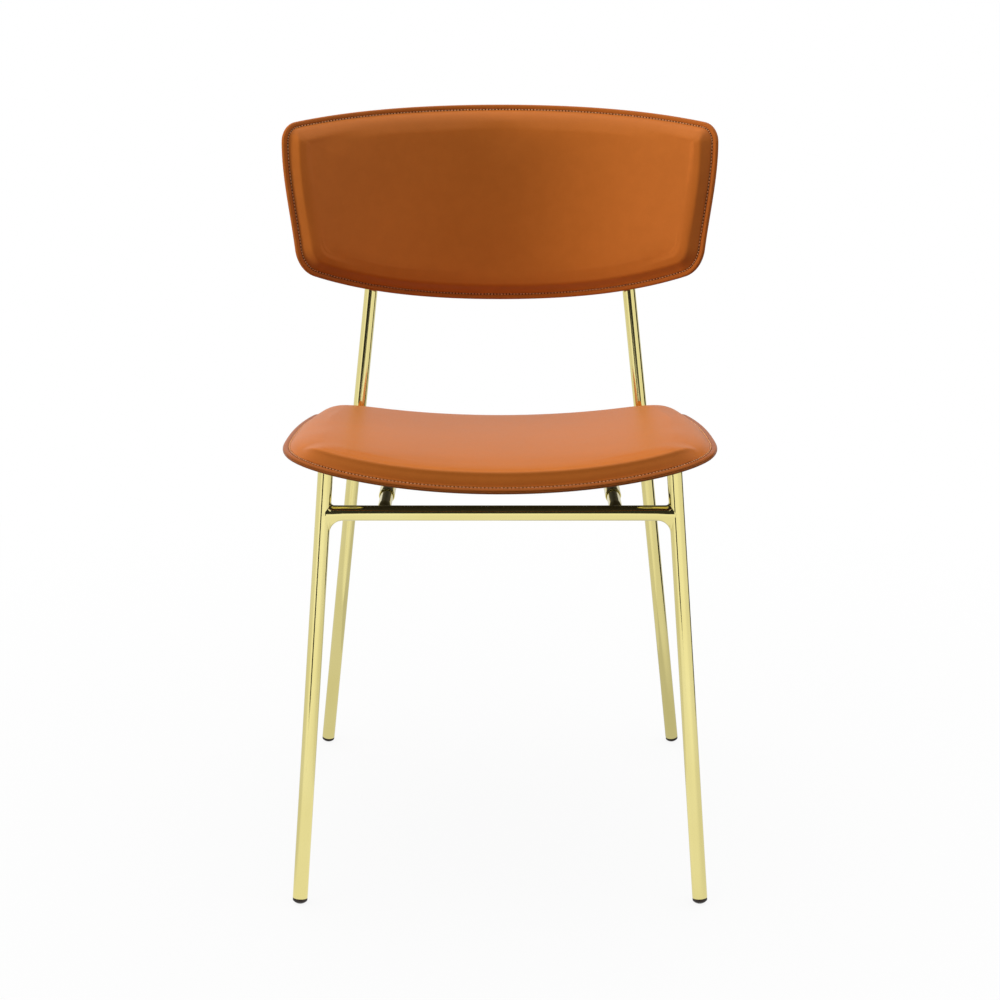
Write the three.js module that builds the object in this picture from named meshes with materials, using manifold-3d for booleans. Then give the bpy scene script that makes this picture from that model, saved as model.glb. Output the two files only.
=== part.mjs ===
// A dining chair: a frame of slim round tube with a polished pale brass finish, and a saddle seat and a curved
// backrest, each a bent plywood shell with a foam pad under leather and a flat sewn lip all round.
// Millimetres. +X is right and +Z up as seen from the front, +Y runs back, and left and right are the viewer's.
// Depths are measured back from the front feet, and half spacings out from the middle of the chair.

import * as THREE from 'three';
import { mergeVertices } from 'three/addons/utils/BufferGeometryUtils.js';
import Module from 'manifold-3d';

const wasm = await Module();
wasm.setup();

// Driving dimensions

// Fits
const fitGap = 0.3;
const cutOverrun = 4;

// Frame tubes
const frontTubeDiameter = 16;
const rearTubeDiameter = 15.5;
const frameTubeWall = 1.5;

// Front legs lean in and back as they rise
const frontFootHalfSpacing = 213.8;
const frontLegSplayDegrees = 4.04;
const frontLegRakeDegrees = 6.7;

// Rear legs lean in and forward up to their bend, a rise above the crossbar, and carry on as the uprights of the back
const rearFootDepth = 480;
const rearFootHalfSpacing = 221;
const rearLegSplayDegrees = 6.58;
const rearLegRakeDegrees = 7.85;
const rearBendRise = 17;
const rearBendRadius = 150;
const uprightSplayDegrees = 5.93;
const uprightLeanDegrees = 10.5;

// Crossbars, a drop below the seat, and the fillets brazed into the corners of the front one
const crossbarDrop = 36;
const lowerFilletRadius = 12.5;
const upperFilletRadius = 3;
const filletThickness = 9;

// Seat rails, inset from the rear legs, and the stubs of the front frame that they slide on
const railDiameter = 17;
const railWall = 1.2;
const railInset = 51.3;
const stubReach = 70;
const stubInsertion = 40;

// Glides
const glideDomeRadius = 10;
const glideRimInset = 0.2;
const glideCollar = 2.5;
const glideStem = 18;
const glideFlatDepth = 0.5;

// Seat
const seatHeight = 454;
const seatOverhang = 9;
const seatRearClearance = 10;
const seatWidth = 467;
const seatTiltDegrees = 3.7;
const seatDishRadius = 1000;
const seatPadThickness = 23.5;
const seatRollWidth = 30;

// Backrest, its lower edge a gap above the seat
const backHeight = 232;
const backWidth = 545;
const backGap = 121.5;
const backLeanDegrees = 9.5;
const backBendRadius = 420;
const backStandoff = 5;
const backPadThickness = 18;
const backRollWidth = 22;

// Layers that the seat and the backrest have alike
const shellThickness = 9;
const coverThickness = 1.2;
const lipWidth = 9;
const lipThickness = 5;
const lipEdgeRadius = 1.4;
const lipSeamWidth = 3;
const padCrown = 2;

// Fixings
const tabThickness = 3;
const tabWidth = 22;
const tabReach = 26;
const screwDiameter = 6;
const screwHeadDiameter = 11;
const screwHeadHeight = 3.2;
const insertDiameter = 10;
const insertInset = 0.8;
const spacerDiameter = 14;
const capHeight = 5;
const capStem = 14;

// Shares of the sizes above
const seatScrewDepthShare = 0.76;
const backScrewShares = [0.2, 0.6];
const uprightTopShare = 0.72;

// Half outlines, from the middle of the front or lower edge round to the middle of the opposite edge. Each corner
// has its place as shares of the half width and of the depth, the edge's direction there in degrees from straight
// across, and the number of facets from the corner before.
const seatOutlineShares = [
  [0, 0, 0, 0],
  [0.6, 0.031, 14, 4],
  [0.872, 0.101, 42, 3],
  [0.962, 0.176, 70, 3],
  [1, 0.373, 90, 2],
  [0.945, 0.824, 98.5, 3],
  [0.69, 0.955, 165, 5],
  [0, 1, 180, 4],
];
const backOutlineShares = [
  [0, 0, 0, 0],
  [0.845, 0.114, 15.5, 6],
  [0.938, 0.248, 82, 4],
  [1, 0.781, 90, 3],
  [0.935, 0.884, 167, 5],
  [0, 1, 180, 7],
];
const seatRingShares = [0.29, 0.58, 0.84];
const backRingShares = [0.22, 0.45, 0.67, 0.87];

// Facets
const tubeSides = 18;
const smallSides = 10;
const bendSteps = 6;
const domeSteps = 4;
const filletSteps = 5;
const rollSteps = 4;
const settleSteps = 8;

// Materials
const finish = (color, roughness, metalness) => new THREE.MeshStandardMaterial({ color, roughness, metalness });
const brass = finish(0xdccd92, 0.14, 1);
const steel = finish(0x8d8c88, 0.35, 1);
const leather = finish(0xb0602c, 0.5, 0);
const lining = finish(0x241b15, 0.7, 0);
const plywood = finish(0xc39a68, 0.7, 0);
const glidePlastic = finish(0x23170f, 0.45, 0);

const chair = new THREE.Group();

function add(name, geometry, surface) {
  const piece = new THREE.Mesh(closedBody(geometry), surface);
  piece.geometry.computeVertexNormals();
  piece.name = name;
  chair.add(piece);
}

const sides = [
  ['left', -1],
  ['right', 1],
];
const vec = (x, y, z) => new THREE.Vector3(x, y, z);
const radians = THREE.MathUtils.degToRad;
const slope = (degrees) => Math.tan(radians(degrees));
const unitScale = vec(1, 1, 1);

// Closed bodies, and cutting and joining them

function signedVolume(geometry) {
  const { position } = geometry.attributes;
  const order = geometry.index;
  const corner = (i) => new THREE.Vector3().fromBufferAttribute(position, order.getX(i));
  let volume = 0;
  for (let i = 0; i < order.count; i += 3) volume += corner(i).dot(corner(i + 1).cross(corner(i + 2)));
  return volume;
}

// The geometry with its shared points merged, its empty facets left out and all its facets turned outward
function closedBody(geometry) {
  const plain = geometry.clone();
  plain.deleteAttribute('normal');
  plain.deleteAttribute('uv');
  const merged = mergeVertices(plain);
  const order = Array.from(merged.index.array);
  const whole = [];
  for (let i = 0; i < order.length; i += 3) {
    const [a, b, c] = order.slice(i, i + 3);
    if (a !== b && b !== c && c !== a) whole.push(a, b, c);
  }
  merged.setIndex(whole);
  if (signedVolume(merged) < 0) merged.setIndex(whole.reverse());
  return merged;
}

function solidOf(geometry) {
  const body = closedBody(geometry);
  return new wasm.Manifold(
    new wasm.Mesh({
      numProp: 3,
      vertProperties: new Float32Array(body.attributes.position.array),
      triVerts: new Uint32Array(body.index.array),
    }),
  );
}

function geometryOf(solid) {
  const { vertProperties, triVerts } = solid.getMesh();
  const geometry = new THREE.BufferGeometry();
  geometry.setAttribute('position', new THREE.BufferAttribute(vertProperties, 3));
  geometry.setIndex(new THREE.BufferAttribute(triVerts, 1));
  return geometry;
}

function cutBy(geometry, ...cutters) {
  return geometryOf(cutters.reduce((left, cutter) => left.subtract(solidOf(cutter)), solidOf(geometry)));
}

function joined(...geometries) {
  const [first, ...rest] = geometries.map(solidOf);
  return geometryOf(rest.reduce((sum, solid) => sum.add(solid), first));
}

// Round stock: straight, bent and turned

function roundSection(radius, boreRadius) {
  const section = new THREE.Shape().absarc(0, 0, radius, 0, 2 * Math.PI);
  if (boreRadius > 0) section.holes.push(new THREE.Path().absarc(0, 0, boreRadius, 0, 2 * Math.PI));
  return section;
}

function frameAt(origin, direction) {
  const turn = new THREE.Quaternion().setFromUnitVectors(vec(0, 0, 1), direction.clone().normalize());
  return new THREE.Matrix4().compose(origin, turn, unitScale);
}

function straightTube(start, end, radius, boreRadius = 0, count = tubeSides) {
  const run = end.clone().sub(start);
  const options = { depth: run.length(), bevelEnabled: false, curveSegments: count / 2 };
  return new THREE.ExtrudeGeometry(roundSection(radius, boreRadius), options).applyMatrix4(frameAt(start, run));
}

// Two straight runs and the arc between them. All its stations lie at the ends and in the arc.
class BentPath extends THREE.CurvePath {
  constructor(start, corner, end, bendRadius) {
    super();
    const back = start.clone().sub(corner).normalize();
    const ahead = end.clone().sub(corner).normalize();
    const reach = bendRadius / Math.tan(back.angleTo(ahead) / 2);
    const arcStart = corner.clone().addScaledVector(back, reach);
    const arcEnd = corner.clone().addScaledVector(ahead, reach);
    this.add(new THREE.LineCurve3(start, arcStart));
    this.add(new THREE.QuadraticBezierCurve3(arcStart, corner, arcEnd));
    this.add(new THREE.LineCurve3(arcEnd, end));
    const [toArc, pastArc, whole] = this.getCurveLengths();
    const inArc = Array.from({ length: bendSteps + 1 }, (_, i) => toArc + ((pastArc - toArc) * i) / bendSteps);
    this.stationShares = [0, ...inArc.map((length) => length / whole), 1];
    this.steps = this.stationShares.length - 1;
  }

  stationShare(share) {
    return this.stationShares[Math.round(share * this.steps)];
  }

  getPointAt(share, target) {
    return this.getPoint(this.stationShare(share), target);
  }

  getTangentAt(share, target) {
    return this.getTangent(this.stationShare(share), target);
  }
}

function bentTube(start, corner, end, bendRadius, radius, boreRadius = 0) {
  const path = new BentPath(start, corner, end, bendRadius);
  const options = { steps: path.steps, extrudePath: path, curveSegments: tubeSides / 2 };
  return new THREE.ExtrudeGeometry(roundSection(radius, boreRadius), options);
}

// A turned piece along z from its profile of radius and height, which starts and ends on the axis
function turned(profile, count = smallSides) {
  const points = profile.map(([radius, height]) => new THREE.Vector2(radius, height));
  return new THREE.LatheGeometry(points, count).rotateX(Math.PI / 2);
}

// Heights that follow from the seat's

const crossbarHeight = seatHeight - crossbarDrop;
const rearBendHeight = crossbarHeight + rearBendRise;
const backBottomHeight = seatHeight + backGap;

// Where the legs and uprights run

function frontLegPoint(side, height) {
  const halfSpacing = frontFootHalfSpacing - height * slope(frontLegSplayDegrees);
  return vec(side * halfSpacing, height * slope(frontLegRakeDegrees), height);
}

function rearLegPoint(side, height) {
  const halfSpacing = rearFootHalfSpacing - height * slope(rearLegSplayDegrees);
  return vec(side * halfSpacing, rearFootDepth - height * slope(rearLegRakeDegrees), height);
}

function uprightPoint(side, height) {
  const bend = rearLegPoint(side, rearBendHeight);
  const rise = height - rearBendHeight;
  const halfSpacing = Math.abs(bend.x) - rise * slope(uprightSplayDegrees);
  return vec(side * halfSpacing, bend.y + rise * slope(uprightLeanDegrees), height);
}

// Bent panels: an outline, a bend about the panel's long axis, and a place on the chair. a runs across, b from the
// front or lower edge to the opposite one, and n out of the leathered face, from the back of the plywood shell.

// The part of each layer that lies under the lip: the shell and the hidden cover stop short of the lip's seam
const shellInset = lipWidth + lipSeamWidth + fitGap;

function halfOutline(cornerShares, halfWidth, depth) {
  const points = [new THREE.Vector2(0, 0)];
  const corners = cornerShares.map(([across, along, degrees, facets]) => ({
    at: new THREE.Vector2(across * halfWidth, along * depth),
    run: new THREE.Vector2(Math.cos(radians(degrees)), Math.sin(radians(degrees))),
    turn: radians(degrees),
    facets,
  }));
  for (let i = 1; i < corners.length; i += 1) {
    const [from, to] = [corners[i - 1], corners[i]];
    const handle = from.at.distanceTo(to.at) / (3 * Math.cos((to.turn - from.turn) / 4) ** 2);
    const start = from.at.clone().addScaledVector(from.run, handle);
    const end = to.at.clone().addScaledVector(to.run, -handle);
    const edge = new THREE.CubicBezierCurve(from.at, start, end, to.at);
    points.push(...edge.getPoints(to.facets).slice(1));
  }
  return points;
}

class BentPanel {
  constructor(cornerShares, width, depth, bendRadius, ringShares, place) {
    Object.assign(this, { width, depth, bendRadius, ringShares, place });
    const right = halfOutline(cornerShares, width / 2, depth);
    const left = right.slice(1, -1).reverse();
    this.outline = [...right, ...left.map((point) => new THREE.Vector2(-point.x, point.y))];
    const count = this.outline.length;
    this.outward = this.outline.map((_, i) => {
      const run = this.outline[(i + 1) % count].clone().sub(this.outline[(i + count - 1) % count]).normalize();
      return new THREE.Vector2(run.y, -run.x);
    });
  }

  at(a, b, n) {
    const angle = a / this.bendRadius;
    const reach = this.bendRadius - n;
    return vec(reach * Math.sin(angle), b, this.bendRadius - reach * Math.cos(angle)).applyMatrix4(this.place);
  }

  coordinatesOf(point) {
    const local = point.clone().applyMatrix4(this.place.clone().invert());
    const up = this.bendRadius - local.z;
    return { a: this.bendRadius * Math.atan2(local.x, up), b: local.y, n: this.bendRadius - Math.hypot(local.x, up) };
  }

  // A frame on the panel whose z axis points out of its leathered face
  frame(a, b, n) {
    const outOfFace = this.at(a, b, n + fitGap).sub(this.at(a, b, n));
    return frameAt(this.at(a, b, n), outOfFace);
  }

  // The outline drawn in by an inset, which follows the edge over the lip and shrinks both ways inside it
  ring(inset, share) {
    const overLip = Math.min(inset, shellInset);
    const inside = inset - overLip;
    const across = share * (1 - inside / (this.width / 2));
    const along = share * (1 - inside / (this.depth / 2));
    return this.outline.map((point, i) => {
      const drawn = point.clone().addScaledVector(this.outward[i], -overLip);
      return [drawn.x * across, this.depth / 2 + (drawn.y - this.depth / 2) * along];
    });
  }

  // A solid from rings of inset, share and n, closed at a middle point at both ends or, as a loop, on itself. Its
  // facets are cut the same way in each layer and mirrored on the left, so that layers with the same rings lie flush.
  solid(rings, loop = false) {
    const count = this.outline.length;
    const positions = [];
    const starts = rings.map(({ inset, share, n }) => {
      const start = positions.length / 3;
      const points = share === 0 ? [[0, this.depth / 2]] : this.ring(inset, share);
      points.forEach(([a, b]) => positions.push(...this.at(a, b, n).toArray()));
      return { start, pole: share === 0 };
    });
    const order = [];
    const last = loop ? rings.length : rings.length - 1;
    for (let i = 0; i < last; i += 1) {
      const next = (i + 1) % rings.length;
      const inward = rings[next].share < rings[i].share;
      const [inner, outer] = inward ? [starts[next], starts[i]] : [starts[i], starts[next]];
      for (let j = 0; j < count; j += 1) {
        const mirrored = j >= count / 2;
        const [from, to] = mirrored ? [(j + 1) % count, j] : [j, (j + 1) % count];
        const corners = [inner.pole ? inner.start : inner.start + from, outer.start + from, outer.start + to];
        order.push(...(inward === mirrored ? corners : corners.reverse()));
        if (inner.pole) continue;
        const others = [inner.start + from, outer.start + to, inner.start + to];
        order.push(...(inward === mirrored ? others : others.reverse()));
      }
    }
    const geometry = new THREE.BufferGeometry();
    geometry.setAttribute('position', new THREE.Float32BufferAttribute(positions, 3));
    geometry.setIndex(order);
    return geometry;
  }

  face(inset, n) {
    return [{ inset, share: 0, n }, ...this.ringShares.map((share) => ({ inset, share, n })), { inset, share: 1, n }];
  }

  // A sheet or board between two values of n
  board(inset, low, high) {
    return this.solid([...this.face(inset, high), ...this.face(inset, low).reverse()]);
  }
}

const lipTop = lipThickness - coverThickness - fitGap;
const coverBottom = -(coverThickness + fitGap);

// The flat sewn lip round the edge of a panel, with its outer edges rounded
function lipOf(panel) {
  const section = [
    [shellInset - fitGap, coverBottom],
    [lipEdgeRadius, coverBottom],
    [0, coverBottom + lipEdgeRadius],
    [0, lipTop - lipEdgeRadius],
    [lipEdgeRadius, lipTop],
    [shellInset - fitGap, lipTop],
  ];
  return panel.solid(section.map(([inset, n]) => ({ inset, share: 1, n })), true);
}

// The pad: a crowned face that rolls down to the lip, over a recess that the shell fills
function padOf(panel, thickness, rollWidth) {
  const seamInset = lipWidth;
  const seam = lipTop + fitGap;
  const rollInset = seamInset + rollWidth;
  const crowned = panel.face(rollInset, thickness).map((ring) => ({
    ...ring,
    n: thickness + padCrown * (1 - ring.share ** 2),
  }));
  const roll = Array.from({ length: rollSteps }, (_, i) => {
    const angle = (Math.PI / 2) * (1 - (i + 1) / rollSteps);
    return { inset: rollInset - rollWidth * Math.cos(angle), share: 1, n: seam + (thickness - seam) * Math.sin(angle) };
  });
  const recess = panel.face(shellInset - fitGap, shellThickness + fitGap).reverse();
  return panel.solid([...crowned, ...roll, { inset: shellInset - fitGap, share: 1, n: seam }, ...recess]);
}

// Seat

const seatDepth = uprightPoint(1, seatHeight).y - rearTubeDiameter / 2 - seatRearClearance + seatOverhang;
const seatPlace = new THREE.Matrix4()
  .makeRotationX(-radians(seatTiltDegrees))
  .setPosition(0, -seatOverhang, seatHeight);
const seat = new BentPanel(seatOutlineShares, seatWidth, seatDepth, seatDishRadius, seatRingShares, seatPlace);

// Backrest, set off from the uprights at the middle of its height

const backRise = backHeight * Math.cos(radians(backLeanDegrees));
const backMiddle = uprightPoint(1, backBottomHeight + backRise / 2);
const backPlace = new THREE.Matrix4().makeRotationX(Math.PI / 2 - radians(backLeanDegrees));
const back = new BentPanel(backOutlineShares, backWidth, backHeight, backBendRadius, backRingShares, backPlace);
let backDepth = backMiddle.y;
for (let i = 0; i < settleSteps; i += 1) {
  backPlace.setPosition(0, backDepth, backBottomHeight);
  backDepth += coverBottom - backStandoff - rearTubeDiameter / 2 - back.coordinatesOf(backMiddle).n;
}

// Screws, their inserts and the holes for them. A screw lies along its frame's z axis.

const screwRadius = screwDiameter / 2;
const screwHole = screwRadius + fitGap;
const insertLength = shellThickness - 2 * insertInset;

function alongFrame(frame, low, high, radius, boreRadius = 0, count = smallSides) {
  return straightTube(vec(0, 0, low), vec(0, 0, high), radius, boreRadius, count).applyMatrix4(frame);
}

function addScrew(name, frame, headTop, tip) {
  const headRadius = screwHeadDiameter / 2;
  const profile = [
    [0, headTop - screwHeadHeight],
    [headRadius / 2, headTop - screwHeadHeight],
    [headRadius, headTop - screwHeadHeight / 3],
    [headRadius, headTop],
    [screwRadius, headTop],
    [screwRadius, tip],
    [0, tip],
  ];
  add(name, turned(profile).applyMatrix4(frame), steel);
}

// Screws go on to just short of the face of the shell, and an insert fills its hole there
function screwTipOf(panel, frame) {
  const origin = vec(0, 0, 0).applyMatrix4(frame);
  return -panel.coordinatesOf(origin).n + shellThickness - insertLength / 4;
}

function shellHole(panel, frame) {
  const toShell = -panel.coordinatesOf(vec(0, 0, 0).applyMatrix4(frame)).n;
  return alongFrame(frame, toShell - cutOverrun, toShell + shellThickness + cutOverrun, insertDiameter / 2 + fitGap);
}

function coverHole(panel, frame) {
  const toShell = -panel.coordinatesOf(vec(0, 0, 0).applyMatrix4(frame)).n;
  return alongFrame(frame, toShell - cutOverrun, toShell + cutOverrun, screwHole);
}

function addInsert(name, panel, frame) {
  const middle = -panel.coordinatesOf(vec(0, 0, 0).applyMatrix4(frame)).n + shellThickness / 2;
  const geometry = alongFrame(
    frame,
    middle - insertLength / 2,
    middle + insertLength / 2,
    insertDiameter / 2,
    screwHole,
  );
  add(name, geometry, brass);
}

// Front frame: legs that end under tabs welded below the seat

const frontRadius = frontTubeDiameter / 2;
const rearRadius = rearTubeDiameter / 2;
const tabTop = coverBottom - fitGap;
const legTop = tabTop - tabThickness - fitGap;

// The height at which a line of the frame reaches the given n of a panel
function heightWhere(panel, line, startHeight, n) {
  let height = startHeight;
  for (let i = 0; i < settleSteps; i += 1) height += n - panel.coordinatesOf(line(height)).n;
  return height;
}

function glideParts(line, tubeRadius) {
  const centre = line(glideDomeRadius - glideFlatDepth);
  const along = line(rearBendHeight).sub(centre).normalize();
  const rimRadius = tubeRadius - glideRimInset;
  const rim = -Math.sqrt(glideDomeRadius ** 2 - rimRadius ** 2);
  const collarTop = rim + glideCollar;
  const dome = Array.from({ length: domeSteps }, (_, i) => {
    const angle = (Math.asin(rimRadius / glideDomeRadius) * (i + 1)) / domeSteps;
    return [glideDomeRadius * Math.sin(angle), -glideDomeRadius * Math.cos(angle)];
  });
  const stemRadius = tubeRadius - frameTubeWall - fitGap;
  const profile = [[0, -glideDomeRadius], ...dome, [rimRadius, collarTop]];
  profile.push([stemRadius, collarTop], [stemRadius, collarTop + glideStem], [0, collarTop + glideStem]);
  const floorCut = new THREE.BoxGeometry(frontTubeDiameter * 2, frontTubeDiameter * 2, glideDomeRadius);
  floorCut.translate(centre.x, centre.y, -glideDomeRadius / 2);
  const glide = cutBy(turned(profile, tubeSides).applyMatrix4(frameAt(centre, along)), floorCut);
  return { glide, tubeStart: centre.clone().addScaledVector(along, collarTop + fitGap) };
}

const frontBarDepth = frontLegPoint(1, crossbarHeight).y;
const frontBarHalf = frontLegPoint(1, crossbarHeight).x;
const frontBar = straightTube(
  vec(-frontBarHalf, frontBarDepth, crossbarHeight),
  vec(frontBarHalf, frontBarDepth, crossbarHeight),
  frontRadius,
  frontRadius - frameTubeWall,
);

// A web in the corner of bar and leg, with a concave edge. It starts in the bar's wall and leans as the leg does.
function filletWeb(side, up, radius) {
  const lean = (across, height) => new THREE.Vector2(-across - height * slope(frontLegSplayDegrees), height);
  const inWall = up * (frontRadius - frameTubeWall - fitGap);
  const edge = Array.from({ length: filletSteps + 1 }, (_, i) => {
    const angle = ((Math.PI / 2) * i) / filletSteps;
    const across = frontRadius + radius - radius * Math.sin(angle);
    return lean(across, up * (frontRadius + radius - radius * Math.cos(angle)));
  });
  const corner = [lean(0, up * (frontRadius + radius)), lean(0, inWall), lean(frontRadius + radius, inWall)];
  const web = new THREE.ExtrudeGeometry(new THREE.Shape([...edge, ...corner]), {
    depth: filletThickness,
    bevelEnabled: false,
  });
  web.rotateX(Math.PI / 2);
  web.translate(0, filletThickness / 2, 0);
  web.scale(side, 1, 1);
  return web.translate(side * frontBarHalf, frontBarDepth, crossbarHeight);
}

const seatHoles = [];
const seatCoverHoles = [];
const frontLegCutters = [];
for (const [name, side] of sides) {
  const line = (height) => frontLegPoint(side, height);
  const { glide, tubeStart } = glideParts(line, frontRadius);
  add(`front_glide_${name}`, glide, glidePlastic);

  const top = heightWhere(seat, line, seatHeight, legTop);
  const under = seat.coordinatesOf(line(top));
  const tabFrame = seat.frame(under.a, under.b, tabTop - tabThickness);
  const trimSize = frontTubeDiameter * 3;
  const trim = new THREE.BoxGeometry(trimSize, trimSize, trimSize).translate(0, 0, trimSize / 2 - fitGap);
  const pastTop = line(top + frontTubeDiameter);
  const leg = straightTube(tubeStart, pastTop, frontRadius, frontRadius - frameTubeWall);
  add(`front_leg_${name}`, cutBy(leg, trim.applyMatrix4(tabFrame)), brass);
  frontLegCutters.push(straightTube(tubeStart, pastTop, frontRadius + fitGap));

  const tabShape = new THREE.Shape();
  tabShape.absarc(0, 0, tabWidth / 2, -Math.PI / 2, Math.PI / 2);
  tabShape.absarc(-tabReach, 0, tabWidth / 2, Math.PI / 2, -Math.PI / 2);
  const screwPlace = new THREE.Path().absarc(-tabReach, 0, screwHole, 0, 2 * Math.PI);
  tabShape.holes.push(screwPlace);
  const tabOptions = { depth: tabThickness, bevelEnabled: false, curveSegments: smallSides / 2 };
  const tab = new THREE.ExtrudeGeometry(tabShape, tabOptions).scale(side, 1, 1);
  add(`seat_tab_${name}`, tab.applyMatrix4(tabFrame), brass);

  const screwFrame = tabFrame.clone().multiply(new THREE.Matrix4().makeTranslation(-side * tabReach, 0, 0));
  addScrew(`seat_front_screw_${name}`, screwFrame, -fitGap, screwTipOf(seat, screwFrame));
  addInsert(`seat_front_insert_${name}`, seat, screwFrame);
  seatHoles.push(shellHole(seat, screwFrame));
  seatCoverHoles.push(coverHole(seat, screwFrame));
}

const frontWebs = sides.flatMap(([, side]) => [
  filletWeb(side, -1, lowerFilletRadius),
  filletWeb(side, 1, upperFilletRadius),
]);
add('front_crossbar', cutBy(joined(frontBar, ...frontWebs), ...frontLegCutters), brass);

// Rear frame: legs that bend under the seat and run on up behind the backrest

const backHoles = [];
const backCoverHoles = [];
const rearLegCutters = [];
const uprightTop = backBottomHeight + uprightTopShare * backRise;
for (const [name, side] of sides) {
  const line = (height) => rearLegPoint(side, height);
  const { glide, tubeStart } = glideParts(line, rearRadius);
  add(`rear_glide_${name}`, glide, glidePlastic);

  const corner = line(rearBendHeight);
  const top = uprightPoint(side, uprightTop);
  const bore = rearRadius - frameTubeWall;
  const legHoles = [];
  const legSolid = (radius) => bentTube(tubeStart, corner, top, rearBendRadius, radius);

  backScrewShares.forEach((share, i) => {
    const place = i === 0 ? 'lower' : 'upper';
    const behind = back.coordinatesOf(uprightPoint(side, backBottomHeight + share * backRise));
    const frame = back.frame(behind.a, behind.b, behind.n);
    addScrew(`back_${place}_screw_${name}`, frame, -rearRadius - fitGap, screwTipOf(back, frame));
    addInsert(`back_${place}_insert_${name}`, back, frame);
    backHoles.push(shellHole(back, frame));
    backCoverHoles.push(coverHole(back, frame));
    legHoles.push(alongFrame(frame, -rearTubeDiameter, rearTubeDiameter, screwHole));
    const spacer = alongFrame(frame, 0, coverBottom - fitGap - behind.n, spacerDiameter / 2, screwHole);
    add(`back_${place}_spacer_${name}`, cutBy(spacer, legSolid(rearRadius + fitGap)), steel);
  });

  const leg = bentTube(tubeStart, corner, top, rearBendRadius, rearRadius, bore);
  add(`rear_leg_${name}`, cutBy(leg, ...legHoles), brass);
  rearLegCutters.push(legSolid(rearRadius + fitGap));

  const capRadius = rearRadius - glideRimInset;
  const capStemRadius = bore - fitGap;
  const capProfile = [
    [0, -capStem],
    [capStemRadius, -capStem],
    [capStemRadius, fitGap],
    [capRadius, fitGap],
    [capRadius, capHeight / 3],
    [capRadius * Math.cos(Math.PI / 6), capHeight / 2],
    [capRadius / 2, capHeight - fitGap],
    [0, capHeight],
  ];
  const capFrame = frameAt(top, top.clone().sub(corner));
  add(`upright_cap_${name}`, turned(capProfile, tubeSides).applyMatrix4(capFrame), glidePlastic);
}

const rearBarDepth = rearLegPoint(1, crossbarHeight).y;
const rearBarHalf = rearLegPoint(1, crossbarHeight).x;
const rearBarEnds = [-1, 1].map((side) => vec(side * rearBarHalf, rearBarDepth, crossbarHeight));
const rearBar = straightTube(...rearBarEnds, rearRadius, rearRadius - frameTubeWall);
add('rear_crossbar', cutBy(rearBar, ...rearLegCutters), brass);

// Seat rails: stubs on the front crossbar, and tubes from the rear crossbar that slide on them

const railRadius = railDiameter / 2;
const railBore = railRadius - railWall;
const railHalfSpacing = rearBarHalf - railInset;
const railStart = frontBarDepth + stubReach;
const railEnd = rearBarDepth - rearRadius / 2;
const frontBarCutter = straightTube(
  vec(-frontBarHalf, frontBarDepth, crossbarHeight),
  vec(frontBarHalf, frontBarDepth, crossbarHeight),
  frontRadius + fitGap,
);
const rearBarCutter = straightTube(...rearBarEnds, rearRadius + fitGap);
for (const [name, side] of sides) {
  const railPoint = (depth, height = crossbarHeight) => vec(side * railHalfSpacing, depth, height);
  const stub = straightTube(railPoint(frontBarDepth), railPoint(railStart + stubInsertion), railBore - fitGap);
  add(`rail_stub_${name}`, cutBy(stub, frontBarCutter), brass);

  const screwDepth = seatScrewDepthShare * seatDepth - seatOverhang;
  const vertical = (height) => railPoint(screwDepth, height);
  const coverHeight = heightWhere(seat, vertical, seatHeight, coverBottom - fitGap);
  const frame = frameAt(vertical(crossbarHeight), vec(0, 0, 1));
  const rail = straightTube(railPoint(railStart), railPoint(railEnd), railRadius, railBore);
  const railHole = alongFrame(frame, -railDiameter, railDiameter, screwHole);
  add(`seat_rail_${name}`, cutBy(rail, rearBarCutter, railHole), brass);

  const spacer = alongFrame(frame, 0, coverHeight - crossbarHeight + cutOverrun, spacerDiameter / 2, screwHole);
  const railCutter = straightTube(railPoint(railStart), railPoint(railEnd), railRadius + fitGap);
  const coverCutter = seat.board(shellInset, coverBottom - fitGap, shellThickness + cutOverrun);
  add(`seat_spacer_${name}`, cutBy(spacer, railCutter, coverCutter), steel);

  addScrew(`seat_rear_screw_${name}`, frame, -railRadius - fitGap, screwTipOf(seat, frame));
  addInsert(`seat_rear_insert_${name}`, seat, frame);
  seatHoles.push(shellHole(seat, frame));
  seatCoverHoles.push(coverHole(seat, frame));
}

// Upholstered panels: shell, cover of the hidden face, lip and pad

add('seat_shell', cutBy(seat.board(shellInset, 0, shellThickness), ...seatHoles), plywood);
add('seat_under_cover', cutBy(seat.board(shellInset, coverBottom, -fitGap), ...seatCoverHoles), lining);
add('seat_lip', lipOf(seat), leather);
add('seat_pad', padOf(seat, seatPadThickness, seatRollWidth), leather);

add('back_shell', cutBy(back.board(shellInset, 0, shellThickness), ...backHoles), plywood);
add('back_rear_cover', cutBy(back.board(shellInset, coverBottom, -fitGap), ...backCoverHoles), leather);
add('back_lip', lipOf(back), leather);
add('back_pad', padOf(back, backPadThickness, backRollWidth), leather);

// The chair stands on the floor with the middle of its plan at the origin
const extent = new THREE.Box3().setFromObject(chair, true);
const middle = extent.getCenter(vec(0, 0, 0));
chair.position.set(-middle.x, -middle.y, -extent.min.z);

export default chair;
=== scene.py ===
from math import cos, pi, radians, sin, tan

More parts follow.
